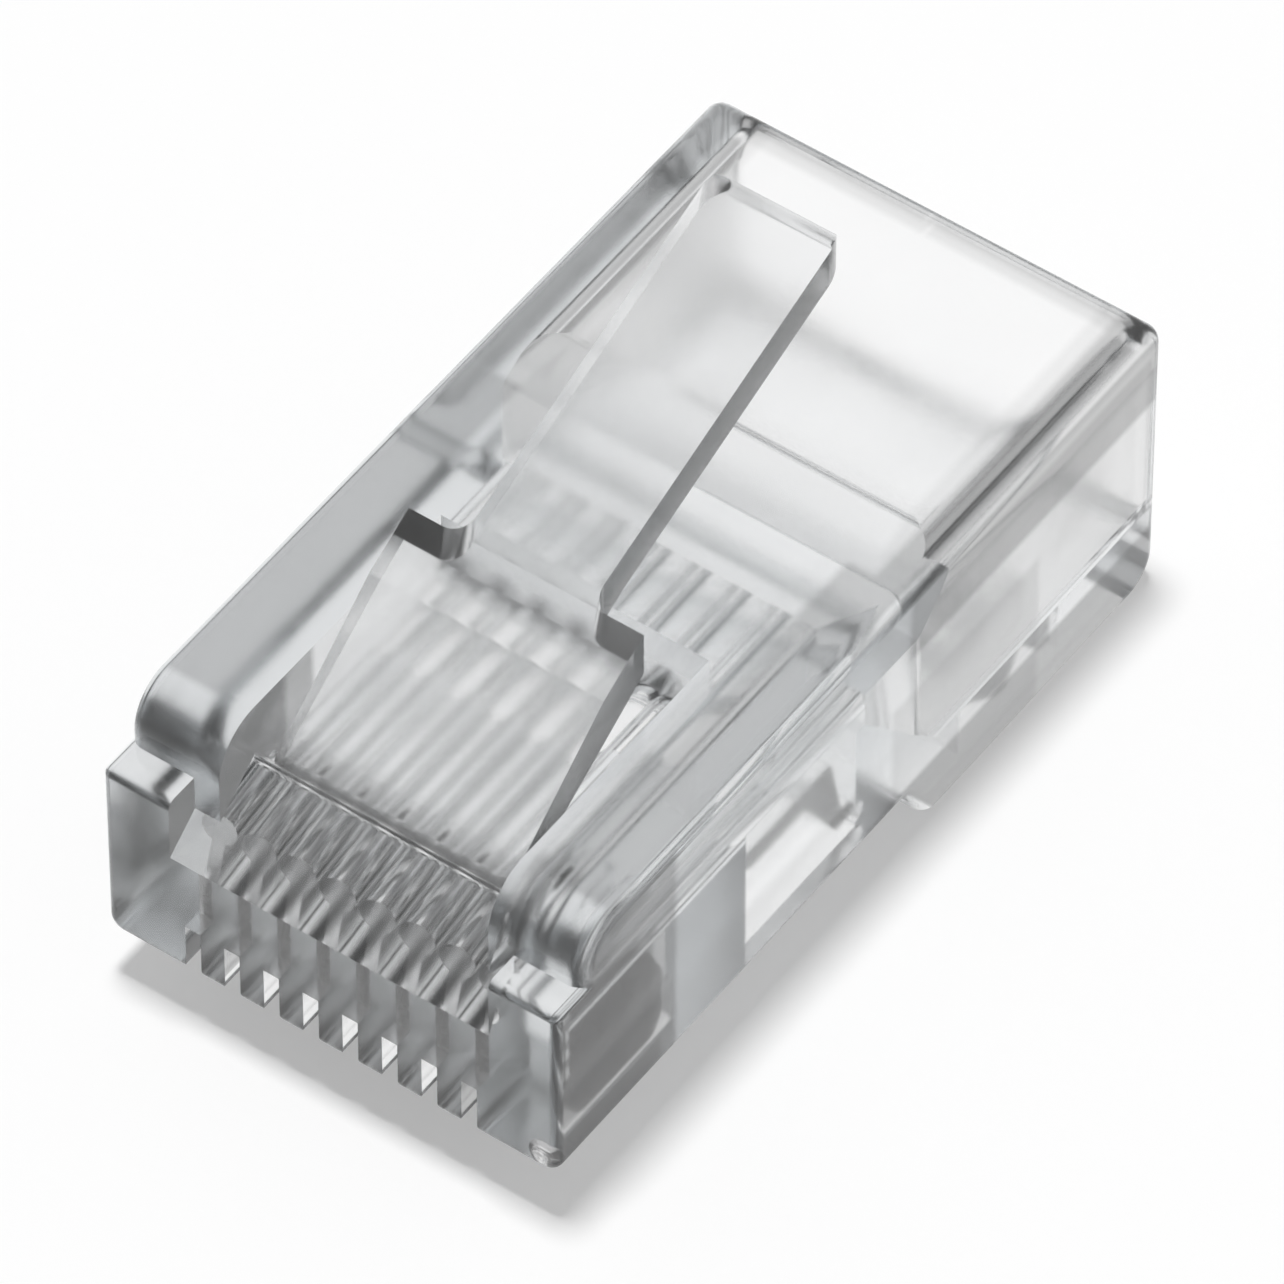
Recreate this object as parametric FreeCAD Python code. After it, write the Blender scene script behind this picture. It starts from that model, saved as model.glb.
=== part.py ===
import FreeCAD, Part
import math
import os

# An eight-way modular plug of clear plastic, as it is before it is crimped on its cable.
# All sizes are in millimetres. The origin is the middle of the nose's lower front edge.
# +X runs across the plug, +Y from the nose to the cable entry, and +Z points to the latch side,
# so the contacts look down and the heel of the body reaches below zero.

# The body's outside
BODY_WIDTH = 11.68
BODY_LENGTH = 22.0
NOSE_HEIGHT = 6.6
HEEL_DROP = 1.4
HEEL_START = 12.5
HEEL_RAMP_LENGTH = 1.0
HEEL_CORNER_RADIUS = 1.0
LEDGE_DROP = 1.5
LEDGE_DEPTH = 0.9
BROW_RADIUS = 1.25
CORNER_RADIUS = 0.4
EDGE_RADIUS = 0.22
BLEND_RADIUS = 0.3

# The contacts and the comb that holds them
CONTACT_COUNT = 8
CONTACT_PITCH = 1.02
CONTACT_THICKNESS = 0.3
CONTACT_LENGTH = 3.2
CONTACT_FRONT = 1.35
CROWN_HEIGHT = 0.05
CROWN_RADIUS = 0.5
BLADE_SHOULDER_HEIGHT = 1.9
PRONG_COUNT = 3
PRONG_HEIGHT = 1.05
PRONG_TIP_WIDTH = 0.08
COMB_SLOT_WIDTH = 0.4
COMB_SLOT_HEIGHT = 1.4
COMB_SLOT_OVERRUN = 0.35
COMB_LIP_RADIUS = 0.24
BLADE_SIDE_CLEARANCE = 0.02
BLADE_END_CLEARANCE = 0.1

# The passages for the cable's wires
WIRE_BORE = 0.92
WIRE_AXIS_HEIGHT = 3.5
WIRE_BORE_FRONT = 1.2
WIRE_BORE_END = 11.7
CHAMBER_FRONT = 7.4
CHAMBER_FLOOR = 3.0
CHAMBER_MARGIN = 0.02

# The cavity for the cable's jacket
SIDE_WALL = 0.7
ROOF_WALL = 0.7
FLOOR_WALL = 1.8
CAVITY_CORNER_RADIUS = 0.7
ROOF_EASE_LENGTH = 1.5
ROOF_EASE_RISE = 0.6
ROOF_RAMP_LENGTH = 1.4
FLOOR_RAMP_LENGTH = 2.5
SIDE_FLARE_LENGTH = 1.5
MOUTH_BEVEL = 0.2

# The latch lever
LATCH_WIDTH = 6.0
LATCH_FOOT_HEIGHT = 3.4
LATCH_RAMP_ANGLE = 39.0
LATCH_ROOT_Y = 2.3
LATCH_ROOT_THICKNESS = 0.7
LATCH_FILM_LENGTH = 0.5
SHOULDER_START = 5.6
SHOULDER_END = 7.0
SHOULDER_RISE = 0.74
SHOULDER_THICKNESS = 1.2
HANDLE_WIDTH = 3.25
HANDLE_THICKNESS = 0.95
HANDLE_ANGLE = 20.7
HANDLE_REACH = 9.6
HANDLE_KNEE = 1.2
HANDLE_CORNER_RADIUS = 0.8
HANDLE_EDGE_RADIUS = 0.3
SHOULDER_INSIDE_RADIUS = 0.5

# The well that the latch lever folds into
SCOOP_WIDTH = 8.2
WELL_SIDE_CLEARANCE = 0.45
WELL_FLOOR = 4.45
WELL_END = 8.7

# The clamp bars and the film hinges that carry them
HINGE_RADIUS = 0.25
HINGE_CLEARANCE = 0.03
BAR_SINK = 0.15
BAR_END_CLEARANCE = 0.25
BAR_SIDE_CLEARANCE = 0.2
BAR_EDGE_RADIUS = 0.2
WIRE_POCKET_END = 11.4
WIRE_BAR_TOP = 2.5
WIRE_BAR_TOP_LENGTH = 3.1
WIRE_BAR_BOTTOM = 1.9
WIRE_BAR_BOTTOM_LENGTH = 2.2
WIRE_BAR_FOOT_REACH = 0.45
CABLE_WINDOW_START = 15.3
CABLE_WINDOW_END = 19.0
CABLE_WINDOW_WIDTH = 7.8
CABLE_BAR_THICKNESS = 0.6
CABLE_RIB_SINK = 0.2
CABLE_RIB_WIDTH = 0.4
CABLE_RIB_REACH = 2.05
CABLE_GROOVE_REACH = 1.15
CABLE_GROOVE_DEPTH = 0.85

# How far a cutting tool runs past the face that it cuts
OVERCUT = 1.0
TINY = 1e-6

ACROSS = FreeCAD.Vector(1, 0, 0)
ALONG = FreeCAD.Vector(0, 1, 0)
UP = FreeCAD.Vector(0, 0, 1)


def side_point(y, z):
    """A point of the plug's side outline, in the middle plane."""
    return FreeCAD.Vector(0, y, z)


def plan_point(x, y):
    """A point of an outline seen from above."""
    return FreeCAD.Vector(x, y, 0)


def end_point(x, z):
    """A point of an outline seen from the nose."""
    return FreeCAD.Vector(x, 0, z)


def rounded_wire(corners, place):
    """A closed wire through corners (u, v, radius): straight runs joined by tangent arcs."""
    runs = []
    for index, (u, v, radius) in enumerate(corners):
        before = corners[index - 1]
        after = corners[(index + 1) % len(corners)]
        corner = FreeCAD.Vector(u, v, 0)
        backward = FreeCAD.Vector(before[0] - u, before[1] - v, 0).normalize()
        forward = FreeCAD.Vector(after[0] - u, after[1] - v, 0).normalize()
        half_angle = backward.getAngle(forward) / 2
        reach = radius / math.tan(half_angle)
        sagitta = radius / math.sin(half_angle) - radius
        middle = corner + (backward + forward).normalize() * sagitta
        runs.append((corner + backward * reach, middle, corner + forward * reach))
    edges = []
    for index, (start, middle, end) in enumerate(runs):
        following = runs[(index + 1) % len(runs)][0]
        if (end - start).Length > TINY:
            arc_points = [place(point.x, point.y) for point in (start, middle, end)]
            edges.append(Part.Arc(*arc_points).toShape())
        if (following - end).Length > TINY:
            line_points = [place(point.x, point.y) for point in (end, following)]
            edges.append(Part.LineSegment(*line_points).toShape())
    return Part.Wire(edges)


def side_prism(corners, width):
    """A solid with the side outline given, centred across the plug."""
    face = Part.Face(rounded_wire(corners, side_point))
    face.translate(ACROSS * (-width / 2))
    return face.extrude(ACROSS * width)


def plan_prism(corners, bottom, top):
    """A solid with the outline given as seen from above, between two heights."""
    face = Part.Face(rounded_wire(corners, plan_point))
    face.translate(UP * bottom)
    return face.extrude(UP * (top - bottom))


def end_prism(corners, front, rear):
    """A solid with the outline given as seen from the nose, between two places along the plug."""
    face = Part.Face(rounded_wire(corners, end_point))
    face.translate(ALONG * front)
    return face.extrude(ALONG * (rear - front))


def block(width, front, rear, bottom, top):
    """A plain block centred across the plug."""
    corner = FreeCAD.Vector(-width / 2, front, bottom)
    return Part.makeBox(width, rear - front, top - bottom, corner)


def cross_cylinder(y, z, radius, width):
    """A cylinder that lies across the plug, centred on its middle plane."""
    return Part.makeCylinder(radius, width, FreeCAD.Vector(-width / 2, y, z), ACROSS)


def contact_places():
    """The places of the contacts across the plug, the first at the left of the nose."""
    first = -CONTACT_PITCH * (CONTACT_COUNT - 1) / 2
    return [first + CONTACT_PITCH * index for index in range(CONTACT_COUNT)]


def chamber_width():
    """The width that the wires take up side by side, which the chamber and its pocket share."""
    return CONTACT_PITCH * CONTACT_COUNT - 2 * CHAMBER_MARGIN


# Directions along and square to the latch's ramp, in the side view
RAMP_ALONG = side_point(math.cos(math.radians(LATCH_RAMP_ANGLE)), math.sin(math.radians(LATCH_RAMP_ANGLE)))
RAMP_SQUARE = side_point(-RAMP_ALONG.z, RAMP_ALONG.y)
RAMP_SLOPE = RAMP_ALONG.z / RAMP_ALONG.y
HANDLE_SLOPE = math.tan(math.radians(HANDLE_ANGLE))


def ramp_height(y):
    """The height of the latch's sloping top face at a place along the plug."""
    return LATCH_FOOT_HEIGHT + RAMP_SLOPE * y


def latch_pivot():
    """The axis that the latch bends about: the middle of its thin root."""
    top = side_point(LATCH_ROOT_Y, ramp_height(LATCH_ROOT_Y))
    return top - RAMP_SQUARE * (LATCH_ROOT_THICKNESS / 2)


def cavity_floor():
    """The height of the cable cavity's flat floor."""
    return -HEEL_DROP + FLOOR_WALL


def wire_bar_pivot():
    """The axis of the film hinge at the back of the wire pocket."""
    return side_point(WIRE_POCKET_END, BAR_SINK + HINGE_RADIUS)


def cable_bar_pivot():
    """The axis of the film hinge at the window's back edge, level with the cavity's floor."""
    return side_point(CABLE_WINDOW_END, cavity_floor())


def body_blank():
    """The outside of the body: a prism of the side outline with the edges of its sides rounded."""
    ledge_height = NOSE_HEIGHT - LEDGE_DROP
    corners = [
        (0, 0, 0),
        (HEEL_START, 0, BLEND_RADIUS),
        (HEEL_START + HEEL_RAMP_LENGTH, -HEEL_DROP, BLEND_RADIUS),
        (BODY_LENGTH, -HEEL_DROP, HEEL_CORNER_RADIUS),
        (BODY_LENGTH, NOSE_HEIGHT, CORNER_RADIUS),
        (LEDGE_DEPTH, NOSE_HEIGHT, BROW_RADIUS),
        (LEDGE_DEPTH, ledge_height, 0),
        (0, ledge_height, 0),
    ]
    blank = side_prism(corners, BODY_WIDTH)
    blank = blank.makeFillet(CORNER_RADIUS, side_edges(blank, True))
    return blank.makeFillet(EDGE_RADIUS, side_edges(blank, False))


def side_edges(blank, behind_ledge):
    """The edges of the blank's side faces behind the nose's ledge, or else those of the nose."""
    half_width = BODY_WIDTH / 2
    edges = []
    for edge in blank.Edges:
        box = edge.BoundBox
        on_side = box.XLength < TINY and abs(abs(box.XMin) - half_width) < TINY
        on_front = box.YMax < TINY
        behind = box.YMin > LEDGE_DEPTH - TINY and box.YMax > LEDGE_DEPTH + TINY
        if (on_side or on_front) and behind == behind_ledge:
            edges.append(edge)
    return edges


def cable_cavity():
    """The cavity for the jacket: a ramped funnel that opens from the wire bores to the rear."""
    half_width = BODY_WIDTH / 2 - SIDE_WALL
    throat_half = chamber_width() / 2
    roof = NOSE_HEIGHT - ROOF_WALL
    floor = cavity_floor()
    throat_roof = WIRE_AXIS_HEIGHT + WIRE_BORE / 2
    rear = BODY_LENGTH + OVERCUT
    roof_ramp_end = WIRE_BORE_END + ROOF_EASE_LENGTH + ROOF_RAMP_LENGTH
    flare_end = WIRE_BORE_END + SIDE_FLARE_LENGTH
    side_outline = [
        (WIRE_BORE_END, CHAMBER_FLOOR, 0),
        (WIRE_BORE_END + FLOOR_RAMP_LENGTH, floor, BLEND_RADIUS),
        (rear, floor, 0),
        (rear, roof, 0),
        (roof_ramp_end, roof, BLEND_RADIUS),
        (WIRE_BORE_END + ROOF_EASE_LENGTH, throat_roof + ROOF_EASE_RISE, BLEND_RADIUS),
        (WIRE_BORE_END, throat_roof, 0),
    ]
    plan_outline = [
        (-throat_half, WIRE_BORE_END, 0),
        (throat_half, WIRE_BORE_END, 0),
        (half_width, flare_end, BLEND_RADIUS),
        (half_width, rear, 0),
        (-half_width, rear, 0),
        (-half_width, flare_end, BLEND_RADIUS),
    ]
    end_outline = [
        (-half_width, floor, CAVITY_CORNER_RADIUS),
        (half_width, floor, CAVITY_CORNER_RADIUS),
        (half_width, roof, CAVITY_CORNER_RADIUS),
        (-half_width, roof, CAVITY_CORNER_RADIUS),
    ]
    cavity = side_prism(side_outline, BODY_WIDTH)
    cavity = cavity.common(plan_prism(plan_outline, -HEEL_DROP - OVERCUT, NOSE_HEIGHT + OVERCUT))
    return cavity.common(end_prism(end_outline, 0, rear + OVERCUT))


def mouth_bevel():
    """The lead-in at the roof and sides of the cable entry, which widens towards the rear face."""
    inner_half = BODY_WIDTH / 2 - SIDE_WALL
    floor = cavity_floor()
    sections = []
    for y, growth in ((BODY_LENGTH - MOUTH_BEVEL, 0), (BODY_LENGTH + MOUTH_BEVEL, 2 * MOUTH_BEVEL)):
        half_width = inner_half + growth
        roof = NOSE_HEIGHT - ROOF_WALL + growth
        radius = CAVITY_CORNER_RADIUS + growth
        corners = [
            (-half_width, floor, radius),
            (half_width, floor, radius),
            (half_width, roof, radius),
            (-half_width, roof, radius),
        ]
        wire = rounded_wire(corners, end_point)
        wire.translate(ALONG * y)
        sections.append(wire)
    return Part.makeLoft(sections, True, True)


def wire_passages():
    """Eight round bores side by side, and the flat chamber that they share over the wire clamp."""
    passages = []
    for x in contact_places():
        start = FreeCAD.Vector(x, WIRE_BORE_FRONT, WIRE_AXIS_HEIGHT)
        length = WIRE_BORE_END + TINY - WIRE_BORE_FRONT
        passages.append(Part.makeCylinder(WIRE_BORE / 2, length, start, ALONG))
    chamber = block(chamber_width(), CHAMBER_FRONT, WIRE_BORE_END, CHAMBER_FLOOR, WIRE_AXIS_HEIGHT)
    return passages + [chamber]


def comb_slots():
    """One slot per contact: open and round-lipped below, narrow where it grips the blade."""
    half = COMB_SLOT_WIDTH / 2
    blade_slot_width = CONTACT_THICKNESS + 2 * BLADE_SIDE_CLEARANCE
    blade_slot_front = CONTACT_FRONT - BLADE_END_CLEARANCE
    blade_slot_rear = CONTACT_FRONT + CONTACT_LENGTH + BLADE_END_CLEARANCE
    open_rear = CONTACT_FRONT + CONTACT_LENGTH + COMB_SLOT_OVERRUN
    slots = []
    for x in contact_places():
        open_slot = [
            (x - half, COMB_SLOT_HEIGHT, 0),
            (x - half, 0, COMB_LIP_RADIUS),
            (x - half - COMB_LIP_RADIUS, 0, 0),
            (x - half - COMB_LIP_RADIUS, -OVERCUT, 0),
            (x + half + COMB_LIP_RADIUS, -OVERCUT, 0),
            (x + half + COMB_LIP_RADIUS, 0, 0),
            (x + half, 0, COMB_LIP_RADIUS),
            (x + half, COMB_SLOT_HEIGHT, 0),
        ]
        slots.append(end_prism(open_slot, -OVERCUT, open_rear))
        grip = block(
            blade_slot_width, blade_slot_front, blade_slot_rear, COMB_SLOT_HEIGHT, WIRE_AXIS_HEIGHT
        )
        grip.translate(ACROSS * x)
        slots.append(grip)
    return slots


def latch_well():
    """The space that the latch folds into, with the rounded seat of its root."""
    pivot = latch_pivot()
    root_top = pivot + RAMP_SQUARE * (LATCH_ROOT_THICKNESS / 2)
    drop = (pivot.z - WELL_FLOOR) / RAMP_SQUARE.z
    root_foot = pivot - RAMP_SQUARE * drop
    above = NOSE_HEIGHT + OVERCUT
    outline = [
        (-OVERCUT, above, 0),
        (-OVERCUT, ramp_height(-OVERCUT), 0),
        (root_top.y, root_top.z, 0),
        (root_foot.y, root_foot.z, 0),
        (WELL_END, WELL_FLOOR, BLEND_RADIUS),
        (WELL_END, above, 0),
    ]
    well_width = LATCH_WIDTH + 2 * WELL_SIDE_CLEARANCE
    scoop = side_prism(outline, SCOOP_WIDTH)
    scoop = scoop.common(block(SCOOP_WIDTH, -OVERCUT, LEDGE_DEPTH, 0, above))
    seat_radius = LATCH_ROOT_THICKNESS / 2 + HINGE_CLEARANCE
    seat = cross_cylinder(pivot.y, pivot.z, seat_radius, well_width)
    return [side_prism(outline, well_width), scoop, seat]


def wire_pocket():
    """The pocket under the wires, with the seat of the wire clamp's film hinge."""
    pivot = wire_bar_pivot()
    pocket = block(chamber_width(), CHAMBER_FRONT, WIRE_POCKET_END, -OVERCUT, WIRE_AXIS_HEIGHT)
    seat = cross_cylinder(pivot.y, pivot.z, HINGE_RADIUS + HINGE_CLEARANCE, chamber_width())
    return [pocket, seat]


def cable_window():
    """The window through the heel's floor that the cable clamp hangs in."""
    return block(
        CABLE_WINDOW_WIDTH,
        CABLE_WINDOW_START,
        CABLE_WINDOW_END,
        -HEEL_DROP - OVERCUT,
        cavity_floor() + OVERCUT / 2,
    )


def make_housing():
    """The clear moulding that holds everything."""
    housing = body_blank()
    for cut in (
        cable_cavity(),
        mouth_bevel(),
        wire_passages(),
        comb_slots(),
        latch_well(),
        wire_pocket(),
        cable_window(),
    ):
        housing = housing.cut(cut)
    return housing


def make_latch_lever():
    """The springy lever: a thin root, a ramp up to the locking shoulders, and a long handle."""
    pivot = latch_pivot()
    root_half = LATCH_ROOT_THICKNESS / 2
    end_top = pivot + RAMP_SQUARE * root_half - RAMP_ALONG * root_half
    end_bottom = pivot - RAMP_SQUARE * root_half - RAMP_ALONG * root_half
    film_end = pivot - RAMP_SQUARE * root_half + RAMP_ALONG * LATCH_FILM_LENGTH
    shoulder_top = ramp_height(SHOULDER_START) + SHOULDER_RISE
    handle_along = side_point(math.cos(math.radians(HANDLE_ANGLE)), math.sin(math.radians(HANDLE_ANGLE)))
    handle_square = side_point(-handle_along.z, handle_along.y)
    root_of_handle = side_point(SHOULDER_END, shoulder_top)
    tip_top = root_of_handle + handle_along * HANDLE_REACH
    tip_bottom = tip_top - handle_square * HANDLE_THICKNESS
    knee = side_point(SHOULDER_END + HANDLE_KNEE, 0)
    knee.z = tip_bottom.z - HANDLE_SLOPE * (tip_bottom.y - knee.y)
    corners = [
        (end_top.y, end_top.z, root_half),
        (SHOULDER_START, ramp_height(SHOULDER_START), BLEND_RADIUS),
        (SHOULDER_END, shoulder_top, BLEND_RADIUS),
        (tip_top.y, tip_top.z, HANDLE_EDGE_RADIUS),
        (tip_bottom.y, tip_bottom.z, HANDLE_EDGE_RADIUS),
        (knee.y, knee.z, BLEND_RADIUS),
        (SHOULDER_END, shoulder_top - SHOULDER_THICKNESS, BLEND_RADIUS),
        (film_end.y, film_end.z, BLEND_RADIUS),
        (end_bottom.y, end_bottom.z, root_half),
    ]
    lever = side_prism(corners, LATCH_WIDTH)
    wide = LATCH_WIDTH / 2
    narrow = HANDLE_WIDTH / 2
    front = pivot.y - OVERCUT
    rear = tip_bottom.y
    plan_outline = [
        (-wide, front, 0),
        (wide, front, 0),
        (wide, SHOULDER_END, 0),
        (narrow, SHOULDER_END, SHOULDER_INSIDE_RADIUS),
        (narrow, rear, HANDLE_CORNER_RADIUS),
        (-narrow, rear, HANDLE_CORNER_RADIUS),
        (-narrow, SHOULDER_END, SHOULDER_INSIDE_RADIUS),
        (-wide, SHOULDER_END, 0),
    ]
    return lever.common(plan_prism(plan_outline, 0, tip_top.z + OVERCUT))


def make_wire_clamp():
    """The bar that is pushed up against the wires: a plate on a leg, on its film hinge."""
    pivot = wire_bar_pivot()
    front = CHAMBER_FRONT + BAR_END_CLEARANCE
    corners = [
        (front, WIRE_BAR_BOTTOM, BAR_EDGE_RADIUS),
        (front, WIRE_BAR_TOP, BAR_EDGE_RADIUS),
        (front + WIRE_BAR_TOP_LENGTH, WIRE_BAR_TOP, BAR_EDGE_RADIUS),
        (pivot.y - HINGE_RADIUS, pivot.z + HINGE_RADIUS, 0),
        (pivot.y + HINGE_RADIUS, pivot.z + HINGE_RADIUS, HINGE_RADIUS),
        (pivot.y + HINGE_RADIUS, pivot.z - HINGE_RADIUS, HINGE_RADIUS),
        (pivot.y - WIRE_BAR_FOOT_REACH, pivot.z - HINGE_RADIUS, 0),
        (front + WIRE_BAR_BOTTOM_LENGTH, WIRE_BAR_BOTTOM, BLEND_RADIUS),
    ]
    return side_prism(corners, chamber_width() - 2 * BAR_SIDE_CLEARANCE)


def make_cable_clamp():
    """The bar that is pushed up against the cable's jacket: a block with two ribs below."""
    pivot = cable_bar_pivot()
    front = CABLE_WINDOW_START + BAR_END_CLEARANCE
    rear = pivot.y - HINGE_CLEARANCE
    rib_front = pivot.y - CABLE_RIB_REACH
    rib_bottom = -HEEL_DROP + CABLE_RIB_SINK
    corners = [
        (front, pivot.z - CABLE_BAR_THICKNESS, BAR_EDGE_RADIUS),
        (front, pivot.z, 0),
        (rear, pivot.z, 0),
        (rear, rib_bottom, 0),
        (rear - CABLE_RIB_WIDTH, rib_bottom, 0),
        (pivot.y - CABLE_GROOVE_REACH, rib_bottom + CABLE_GROOVE_DEPTH, 0),
        (rib_front + CABLE_RIB_WIDTH, rib_bottom, 0),
        (rib_front, rib_bottom, 0),
    ]
    return side_prism(corners, CABLE_WINDOW_WIDTH - 2 * BAR_SIDE_CLEARANCE)


def make_contact(x):
    """A stamped blade: a round-cornered crown below and a row of sharp prongs above."""
    rear = CONTACT_FRONT + CONTACT_LENGTH
    prong_pitch = CONTACT_LENGTH / PRONG_COUNT
    tip_height = BLADE_SHOULDER_HEIGHT + PRONG_HEIGHT
    corners = [
        (CONTACT_FRONT, CROWN_HEIGHT, CROWN_RADIUS),
        (rear, CROWN_HEIGHT, CROWN_RADIUS),
    ]
    for index in reversed(range(PRONG_COUNT)):
        middle = CONTACT_FRONT + prong_pitch * (index + 0.5)
        corners.append((middle + prong_pitch / 2, BLADE_SHOULDER_HEIGHT, 0))
        corners.append((middle + PRONG_TIP_WIDTH / 2, tip_height, 0))
        corners.append((middle - PRONG_TIP_WIDTH / 2, tip_height, 0))
    corners.append((CONTACT_FRONT, BLADE_SHOULDER_HEIGHT, 0))
    blade = side_prism(corners, CONTACT_THICKNESS)
    blade.translate(ACROSS * x)
    return blade


def write_part(name, shape):
    """One STEP file per piece, named after the piece."""
    solids = shape.Solids
    if len(solids) != 1 or not shape.isValid():
        raise ValueError("%s has %d solids, valid: %s" % (name, len(solids), shape.isValid()))
    solids[0].exportStep(os.path.join("parts", name + ".step"))


def main():
    os.makedirs("parts", exist_ok=True)
    write_part("housing", make_housing())
    write_part("latch_lever", make_latch_lever())
    write_part("wire_clamp", make_wire_clamp())
    write_part("cable_clamp", make_cable_clamp())
    for number, x in enumerate(contact_places(), start=1):
        write_part("contact_%d" % number, make_contact(x))


main()
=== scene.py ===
# The looks of a clear modular plug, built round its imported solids.
# Lengths are in metres, apart from the constants marked as mm.
# +X runs across the plug, +Y from the nose to the cable entry, +Z to the latch side.

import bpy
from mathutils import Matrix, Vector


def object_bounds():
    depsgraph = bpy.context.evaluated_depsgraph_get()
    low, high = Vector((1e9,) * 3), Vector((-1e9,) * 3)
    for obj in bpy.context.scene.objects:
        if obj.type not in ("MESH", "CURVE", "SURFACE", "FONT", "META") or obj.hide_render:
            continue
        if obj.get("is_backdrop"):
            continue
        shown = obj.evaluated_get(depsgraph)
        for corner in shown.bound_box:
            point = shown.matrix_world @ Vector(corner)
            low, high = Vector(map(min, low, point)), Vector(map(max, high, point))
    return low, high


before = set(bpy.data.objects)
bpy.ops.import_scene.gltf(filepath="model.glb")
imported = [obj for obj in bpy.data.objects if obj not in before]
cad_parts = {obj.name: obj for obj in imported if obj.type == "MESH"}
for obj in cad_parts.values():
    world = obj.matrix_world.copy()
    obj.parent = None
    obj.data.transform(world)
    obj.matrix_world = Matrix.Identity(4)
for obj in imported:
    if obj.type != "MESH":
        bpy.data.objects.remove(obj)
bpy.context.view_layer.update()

import math

import bpy
from bpy.props import FloatProperty, FloatVectorProperty, PointerProperty
from mathutils import Vector

bl_info = {
    "name": "Clear modular plug",
    "version": (1, 0, 0),
    "blender": (4, 5, 0),
    "location": "View3D > Sidebar > Plug",
    "description": "Dresses a clear modular plug: mouldings, contact blades and a pale table",
    "category": "Object",
}

MM = 0.001
CLEAR_NODES = ("housing", "latch_lever", "wire_clamp", "cable_clamp")
CONTACT_NODES = sorted(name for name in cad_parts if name.startswith("contact_"))

# Faces with painted shade, darker in colour where refracted light and shadow leave the plug
# dark, the same on both sides of the plug. Each row gives the axis that
#  the face looks along, or none for all ways, then in mm the bounds of its distance off the
#  middle, of its way back and of its height, and last the level that its colour comes down to.
PAINTED_SHADE_FACES = (
    ("X", (3.0, 6.2), (-1.0, 4.2), (-3.0, 9.0), 0.3),
    ("Z", (4.2, 6.2), (2.0, 12.6), (5.0, 9.0), 0.48),
    ("X", (0.0, 6.2), (-1.0, 23.0), (7.2, 15.0), 0.55),
    ("X", (5.5, 6.2), (12.6, 23.0), (4.5, 9.0), 0.35),
    ("X", (5.5, 6.2), (11.0, 23.0), (-3.0, 0.5), 0.3),
    ("X", (5.5, 6.2), (12.0, 17.4), (-3.0, 3.4), 0.7),
    ("X", (4.5, 5.5), (12.8, 23.0), (0.8, 9.0), 0.6),
    ("", (4.3, 5.3), (12.8, 23.0), (5.0, 6.1), 0.8),
    ("Z", (4.9, 6.2), (12.6, 23.0), (5.0, 9.0), 0.48),
    ("Z", (0.0, 6.2), (21.4, 23.0), (5.0, 9.0), 0.7),
)
PAINTED_SHADE_SOFTNESS = 0.3  # mm, width of the soft edge of a face with painted shade
SHADE_FACING = (0.8, 0.95)  # share of the normal along its axis where a face's painted shade starts and is full

NOSE_BLEND = 0.8  # mm, over which the nose's haze turns into that of the other faces
PATCH_SCALE, PATCH_DETAIL = 420.0, 3.0
PATCH_NOISE, PATCH_HAZE = (0.35, 0.65), (0.85, 1.2)  # noise levels, and the share of haze there
RIPPLE_SCALE, RIPPLE_DETAIL = 900.0, 2.0

MARK_STRETCH = (1.0, 1.0, 12.0)
MARK_SCALE, MARK_DETAIL = 1500.0, 3.0
MARK_NOISE, MARK_ROUGHNESS = (0.3, 0.7), (0.8, 1.25)  # noise levels, and the share of roughness
MARK_STRENGTH, MARK_HEIGHT = 0.4, 0.002  # height in mm

TABLE_COLOUR = (0.92, 0.92, 0.92, 1)
TABLE_HALF = 0.6  # half its side
LAMP_WAY = (-0.07, 0.02, 1.0)
LENS, SENSOR_WIDTH = 409.3, 36.0  # mm
AIM, AIM_RIGHT, AIM_DOWN = (0, 11, 3.0), 0.063, 0.19  # mm, the plug's middle and how far off it


class PlasticSettings(bpy.types.PropertyGroup):
    """The clear plastic of the mouldings."""

    ior: FloatProperty(
        name="Index of refraction", description="1.585 is polycarbonate", default=1.585
    )
    haze: FloatProperty(
        name="Haze",
        description="Roughness of the faces behind the nose",
        default=0.15,
        min=0.0,
        max=1.0,
    )
    nose_haze: FloatProperty(
        name="Nose haze",
        description="Roughness of the faces round the comb",
        default=0.17,
        min=0.0,
        max=1.0,
    )
    nose_length: FloatProperty(
        name="Nose length",
        description="How far back the nose haze reaches",
        unit="LENGTH",
        default=4.4 * MM,
    )
    ripple: FloatProperty(
        name="Ripple",
        description="Height of the flow ripples in the faces",
        unit="LENGTH",
        default=0.0025 * MM,
    )
    tint: FloatVectorProperty(
        name="Tint",
        description="Colour that the plastic lets through",
        subtype="COLOR",
        default=(0.872, 0.882, 0.888),
    )
    density: FloatProperty(
        name="Density", description="How fast the tint builds up, per metre", default=330.0
    )


class MetalSettings(bpy.types.PropertyGroup):
    """The plated metal of the contact blades."""

    # This colour is far below that of real plating: besides the plated metal it carries painted
    # shade for the dim surroundings the blades reflect.
    colour: FloatVectorProperty(
        name="Colour",
        description="Colour of the plating",
        subtype="COLOR",
        default=(0.035, 0.0345, 0.0335),
    )
    roughness: FloatProperty(
        name="Roughness", description="Roughness of the plating", default=0.3
    )


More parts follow.
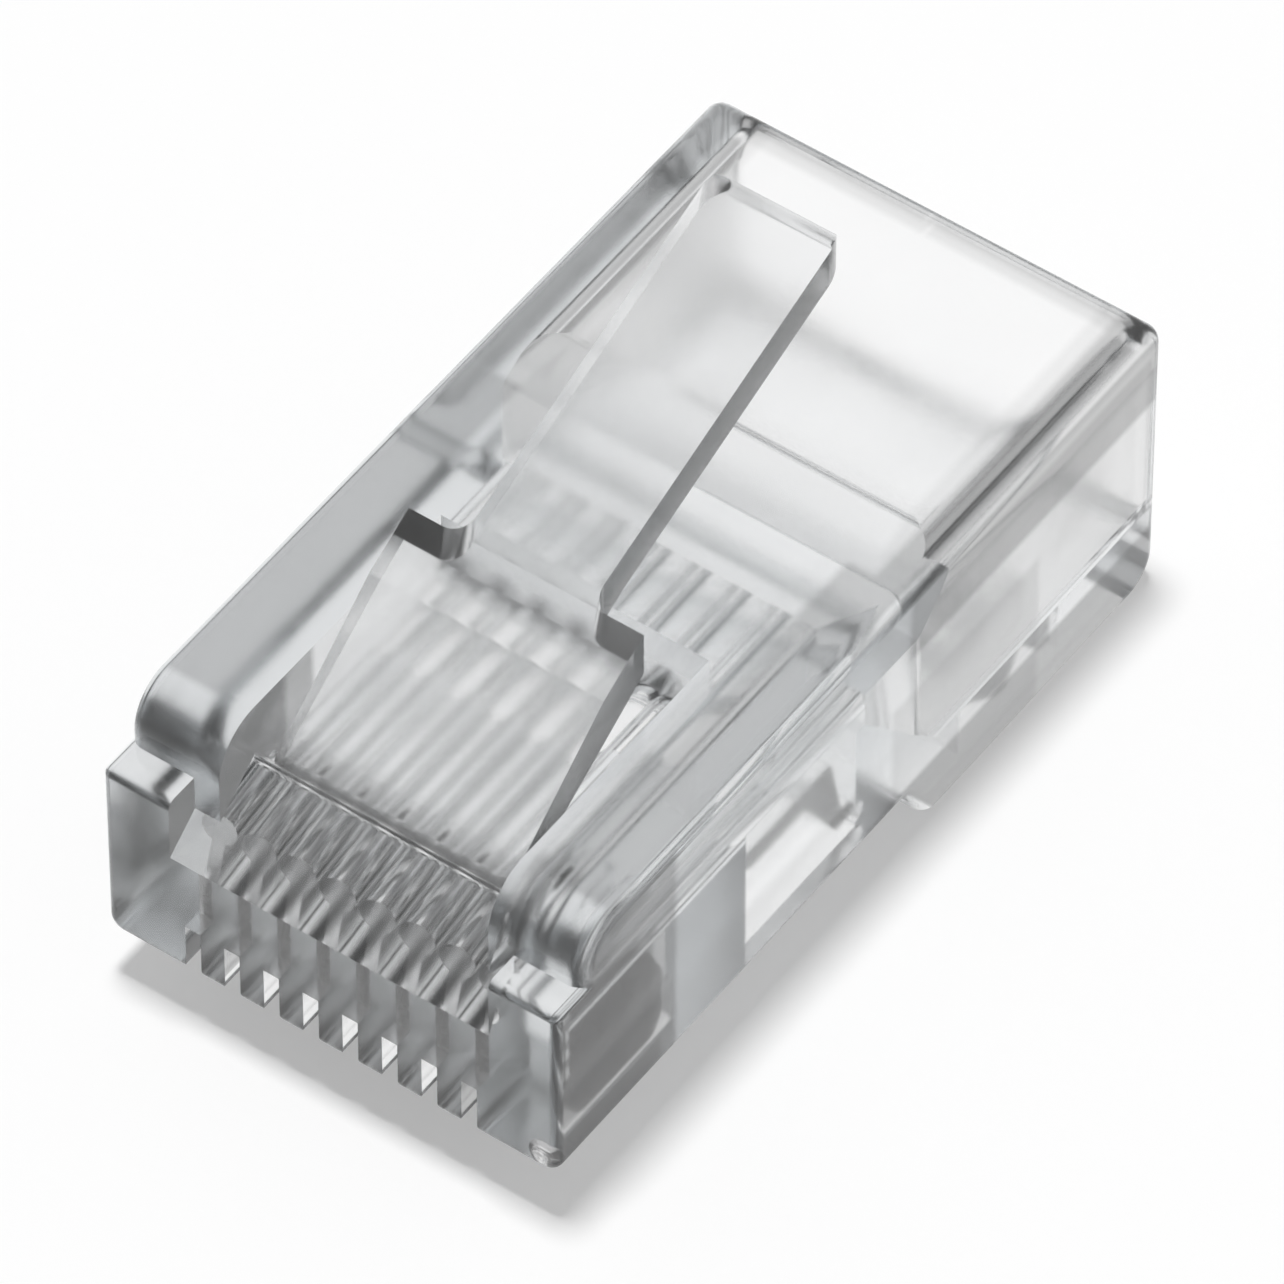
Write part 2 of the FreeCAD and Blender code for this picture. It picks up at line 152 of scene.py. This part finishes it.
class StageSettings(bpy.types.PropertyGroup):
    """The pale table, the lamp, the sky and the camera."""

    azimuth: FloatProperty(
        name="Azimuth",
        description="Camera's turn from the nose",
        subtype="ANGLE",
        default=math.radians(35.7),
    )
    elevation: FloatProperty(
        name="Elevation",
        description="Camera's height",
        subtype="ANGLE",
        default=math.radians(49.0),
    )
    distance: FloatProperty(
        name="Distance", description="Camera's distance", unit="LENGTH", default=0.308
    )
    sky: FloatProperty(
        name="Sky", description="Level of the studio round the plug", default=0.9
    )
    sky_on_table: FloatProperty(
        name="Sky on table", description="Level of the studio on matt surfaces", default=0.25
    )
    sun: FloatProperty(
        name="Overhead lamp", description="Strength of the lamp overhead", default=2.6
    )
    sun_size: FloatProperty(
        name="Lamp size",
        description="How wide the lamp looks from the table",
        subtype="ANGLE",
        default=math.radians(10),
    )
    glow_share: FloatProperty(
        name="Glow share",
        description="Part of the table's white that isn't lamp light",
        default=0.34,
    )


class NodeGraph:
    """A short way to write a material's nodes and links."""

    def __init__(self, tree):
        self.tree = tree
        tree.nodes.clear()

    def add(self, kind, settings=None, **inputs):
        """Adds a node. An underscore in an input's name stands for a space."""
        node = self.tree.nodes.new(kind)
        for name, value in (settings or {}).items():
            setattr(node, name, value)
        for name, value in inputs.items():
            self.feed(node, name.replace("_", " "), value)
        return node

    def sum(self, operation, *values):
        """The result of one sum on numbers or sockets."""
        node = self.tree.nodes.new("ShaderNodeMath")
        node.operation = operation
        for index, value in enumerate(values):
            self.feed(node, index, value)
        return node.outputs[0]

    def ramp(self, value, start, end, low, high):
        """Low before start, high after end, and a soft step between them."""
        node = self.add("ShaderNodeMapRange", {"interpolation_type": "SMOOTHSTEP"}, Value=value)
        limits = (("From Min", start), ("From Max", end), ("To Min", low), ("To Max", high))
        for name, number in limits:
            self.feed(node, name, number)
        return node.outputs[0]

    def feed(self, node, name, value):
        """Links a socket to an input, or writes a number on it."""
        socket = node.inputs[name]
        if isinstance(value, bpy.types.NodeSocket):
            self.tree.links.new(value, socket)
        else:
            socket.default_value = value


def new_material(name):
    """An empty node material and its graph."""
    material = bpy.data.materials.new(name)
    material.use_nodes = True
    return material, NodeGraph(material.node_tree)


def painted_shade_colour(graph, place):
    """Painted shade: one, times the level of each shaded face where it lies, a product of soft
    windows.
    """
    facing = graph.add(
        "ShaderNodeSeparateXYZ", Vector=graph.add("ShaderNodeTexCoord").outputs["Normal"]
    )
    parts = graph.add("ShaderNodeSeparateXYZ", Vector=place)
    coordinates = (
        graph.sum("ABSOLUTE", parts.outputs["X"]),
        parts.outputs["Y"],
        parts.outputs["Z"],
    )
    looks = {
        axis: graph.ramp(graph.sum("ABSOLUTE", facing.outputs[axis]), *SHADE_FACING, 0.0, 1.0)
        for axis in "XZ"
    }
    soft = PAINTED_SHADE_SOFTNESS * MM / 2
    painted_shade_level = 1.0
    for axis, *bounds, level in PAINTED_SHADE_FACES:
        mask = looks.get(axis, 1.0)
        for coordinate, (start, end) in zip(coordinates, bounds):
            middle, half = (start + end) / 2 * MM, (end - start) / 2 * MM
            offset = graph.sum("ABSOLUTE", graph.sum("SUBTRACT", coordinate, middle))
            window = graph.ramp(offset, half - soft, half + soft, 1.0, 0.0)
            mask = graph.sum("MULTIPLY", mask, window)
        painted_shade_level = graph.sum("MULTIPLY", painted_shade_level, graph.sum("MULTIPLY_ADD", mask, level - 1.0, 1.0))
    return graph.add("ShaderNodeCombineColor", Red=painted_shade_level, Green=painted_shade_level, Blue=painted_shade_level).outputs[0]


def clear_plastic(settings):
    """Clear plastic with patches of haze, faint flow ripples, painted shade on some faces and a
    grey body.
    """
    material, graph = new_material("clear plastic")
    place = graph.add("ShaderNodeTexCoord").outputs["Object"]
    way_back = graph.add("ShaderNodeSeparateXYZ", Vector=place).outputs["Y"]
    patches = graph.add(
        "ShaderNodeTexNoise", Vector=place, Scale=PATCH_SCALE, Detail=PATCH_DETAIL
    )
    nose_end = settings.nose_length
    base = graph.ramp(
        way_back, nose_end - NOSE_BLEND * MM, nose_end, settings.nose_haze, settings.haze
    )
    uneven = graph.ramp(patches.outputs[0], *PATCH_NOISE, *PATCH_HAZE)
    ripples = graph.add(
        "ShaderNodeTexNoise", Vector=place, Scale=RIPPLE_SCALE, Detail=RIPPLE_DETAIL
    )
    bump = graph.add(
        "ShaderNodeBump", Height=ripples.outputs[0], Strength=1.0, Distance=settings.ripple
    )
    shader = graph.add(
        "ShaderNodeBsdfPrincipled",
        # The base colour carries painted shade on the faces listed in the painted shade table.
        Base_Color=painted_shade_colour(graph, place),
        Roughness=graph.sum("MULTIPLY", base, uneven),
        IOR=settings.ior,
        Transmission_Weight=1.0,
        Normal=bump.outputs[0],
    )
    absorb = graph.add(
        "ShaderNodeVolumeAbsorption", Color=(*settings.tint, 1), Density=settings.density
    )
    graph.add(
        "ShaderNodeOutputMaterial",
        Surface=shader.outputs["BSDF"],
        Volume=absorb.outputs["Volume"],
    )
    return material


def contact_metal(settings):
    """Plated metal with the fine rolling marks of the strip that the blades are stamped from."""
    material, graph = new_material("plated contact")
    place = graph.add("ShaderNodeTexCoord").outputs["Object"]
    stretched = graph.add("ShaderNodeMapping", Vector=place, Scale=MARK_STRETCH)
    marks = graph.add(
        "ShaderNodeTexNoise", Vector=stretched.outputs[0], Scale=MARK_SCALE, Detail=MARK_DETAIL
    ).outputs[0]
    smooth, rough = (settings.roughness * share for share in MARK_ROUGHNESS)
    bump = graph.add(
        "ShaderNodeBump", Height=marks, Strength=MARK_STRENGTH, Distance=MARK_HEIGHT * MM
    )
    shader = graph.add(
        "ShaderNodeBsdfPrincipled",
        # The dark base colour is partly the plating and partly painted shade.
        Base_Color=(*settings.colour, 1),
        Metallic=1.0,
        Roughness=graph.ramp(marks, *MARK_NOISE, smooth, rough),
        Normal=bump.outputs[0],
    )
    graph.add("ShaderNodeOutputMaterial", Surface=shader.outputs["BSDF"])
    return material


def dress(node, material):
    """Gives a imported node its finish."""
    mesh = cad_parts[node].data
    mesh.materials.clear()
    mesh.materials.append(material)


class PLUG_OT_mouldings(bpy.types.Operator):
    """Gives the four clear mouldings their plastic"""

    bl_idname = "plug.mouldings"
    bl_label = "Clear mouldings"

    def execute(self, context):
        plastic = clear_plastic(context.scene.plug_plastic)
        for node in CLEAR_NODES:
            dress(node, plastic)
        return {"FINISHED"}


class PLUG_OT_contacts(bpy.types.Operator):
    """Gives the contact blades their plating"""

    bl_idname = "plug.contacts"
    bl_label = "Contact blades"

    def execute(self, context):
        metal = contact_metal(context.scene.plug_metal)
        for node in CONTACT_NODES:
            dress(node, metal)
        return {"FINISHED"}


def table_material(settings):
    """Matt white that keeps the plug's shadow. Part of its white is an even glow for the camera
    and for reflections, and all of it is one for what is seen through the plastic."""
    material, graph = new_material("pale table")
    path = graph.add("ShaderNodeLightPath").outputs
    seen = graph.sum("MAXIMUM", path["Is Camera Ray"], path["Is Glossy Ray"])
    seen_share = graph.sum("MULTIPLY", seen, settings.glow_share)
    share = graph.sum("MAXIMUM", path["Is Transmission Ray"], seen_share)
    diffuse = graph.add("ShaderNodeBsdfDiffuse", Color=TABLE_COLOUR)
    glow = graph.add("ShaderNodeEmission", Strength=1.0)
    mix = graph.add("ShaderNodeMixShader")
    for index, value in enumerate((share, diffuse.outputs[0], glow.outputs[0])):
        graph.feed(mix, index, value)
    graph.add("ShaderNodeOutputMaterial", Surface=mix.outputs[0])
    return material


def pale_table(settings):
    """A flat square under the plug's lowest point."""
    low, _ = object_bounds()
    half = TABLE_HALF
    plan = ((-half, -half), (half, -half), (half, half), (-half, half))
    corners = [(x, y, low.z) for x, y in plan]
    mesh = bpy.data.meshes.new("light_table")
    mesh.from_pydata(corners, [], [(0, 1, 2, 3)])
    mesh.materials.append(table_material(settings))
    table = bpy.data.objects.new("light_table", mesh)
    bpy.context.scene.collection.objects.link(table)
    table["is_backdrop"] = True


def studio_world(settings):
    """An even pale studio, kept lower for the light that falls on matt surfaces."""
    world = bpy.data.worlds.new("studio")
    bpy.context.scene.world = world
    world.use_nodes = True
    graph = NodeGraph(world.node_tree)
    on_matt = graph.add("ShaderNodeLightPath").outputs["Is Diffuse Ray"]
    change = settings.sky_on_table - settings.sky
    level = graph.sum("MULTIPLY_ADD", on_matt, change, settings.sky)
    shade = graph.add("ShaderNodeBackground", Color=(1, 1, 1, 1), Strength=level)
    graph.add("ShaderNodeOutputWorld", Surface=shade.outputs[0])


def overhead_lamp(settings):
    """A lamp almost straight above, a little to the left and behind, for a thin soft shadow."""
    lamp_data = bpy.data.lights.new("overhead", "SUN")
    lamp_data.energy = settings.sun
    lamp_data.angle = settings.sun_size
    lamp = bpy.data.objects.new("overhead", lamp_data)
    lamp.rotation_euler = Vector(LAMP_WAY).to_track_quat("Z", "Y").to_euler()
    lamp.visible_transmission = False
    lamp.visible_glossy = False
    bpy.context.scene.collection.objects.link(lamp)


def place_camera(settings):
    """A long lens at the photograph's viewing angle, aimed at the plug's middle."""
    back = Vector(
        (
            math.sin(settings.azimuth) * math.cos(settings.elevation),
            -math.cos(settings.azimuth) * math.cos(settings.elevation),
            math.sin(settings.elevation),
        )
    )
    data = bpy.data.cameras.new("camera")
    data.lens = LENS
    data.sensor_width = SENSOR_WIDTH
    camera = bpy.data.objects.new("camera", data)
    turn = (-back).to_track_quat("-Z", "Y")
    right = turn @ Vector((1, 0, 0))
    up = turn @ Vector((0, 1, 0))
    aim = Vector(AIM) * MM + right * AIM_RIGHT * MM - up * AIM_DOWN * MM
    camera.location = aim + back * settings.distance
    camera.rotation_mode = "QUATERNION"
    camera.rotation_quaternion = turn
    bpy.context.scene.collection.objects.link(camera)
    bpy.context.scene.camera = camera


class PLUG_OT_stage(bpy.types.Operator):
    """Adds the pale table, the lamp, the sky and the camera"""

    bl_idname = "plug.stage"
    bl_label = "Stage"

    def execute(self, context):
        settings = context.scene.plug_stage
        pale_table(settings)
        studio_world(settings)
        overhead_lamp(settings)
        place_camera(settings)
        context.scene.view_settings.view_transform = "Standard"
        return {"FINISHED"}


class PLUG_PT_panel(bpy.types.Panel):
    """Lists the settings and the steps of the plug"""

    bl_idname = "PLUG_PT_panel"
    bl_label = "Clear modular plug"
    bl_space_type = "VIEW_3D"
    bl_region_type = "UI"
    bl_category = "Plug"

    def draw(self, context):
        for name, group in GROUPS.items():
            settings = getattr(context.scene, name)
            for item in group.__annotations__:
                self.layout.prop(settings, item)
        for step in STEPS:
            self.layout.operator(step.bl_idname)


GROUPS = {
    "plug_plastic": PlasticSettings,
    "plug_metal": MetalSettings,
    "plug_stage": StageSettings,
}
STEPS = (PLUG_OT_mouldings, PLUG_OT_contacts, PLUG_OT_stage)


def register():
    for group in GROUPS.values():
        bpy.utils.register_class(group)
    for name, group in GROUPS.items():
        setattr(bpy.types.Scene, name, PointerProperty(type=group))
    for kind in (*STEPS, PLUG_PT_panel):
        bpy.utils.register_class(kind)


def unregister():
    for kind in (PLUG_PT_panel, *reversed(STEPS)):
        bpy.utils.unregister_class(kind)
    for name in GROUPS:
        delattr(bpy.types.Scene, name)
    for group in reversed(GROUPS.values()):
        bpy.utils.unregister_class(group)


def main():
    register()
    bpy.ops.plug.mouldings()
    bpy.ops.plug.contacts()
    bpy.ops.plug.stage()


if __name__ == "__main__":
    main()
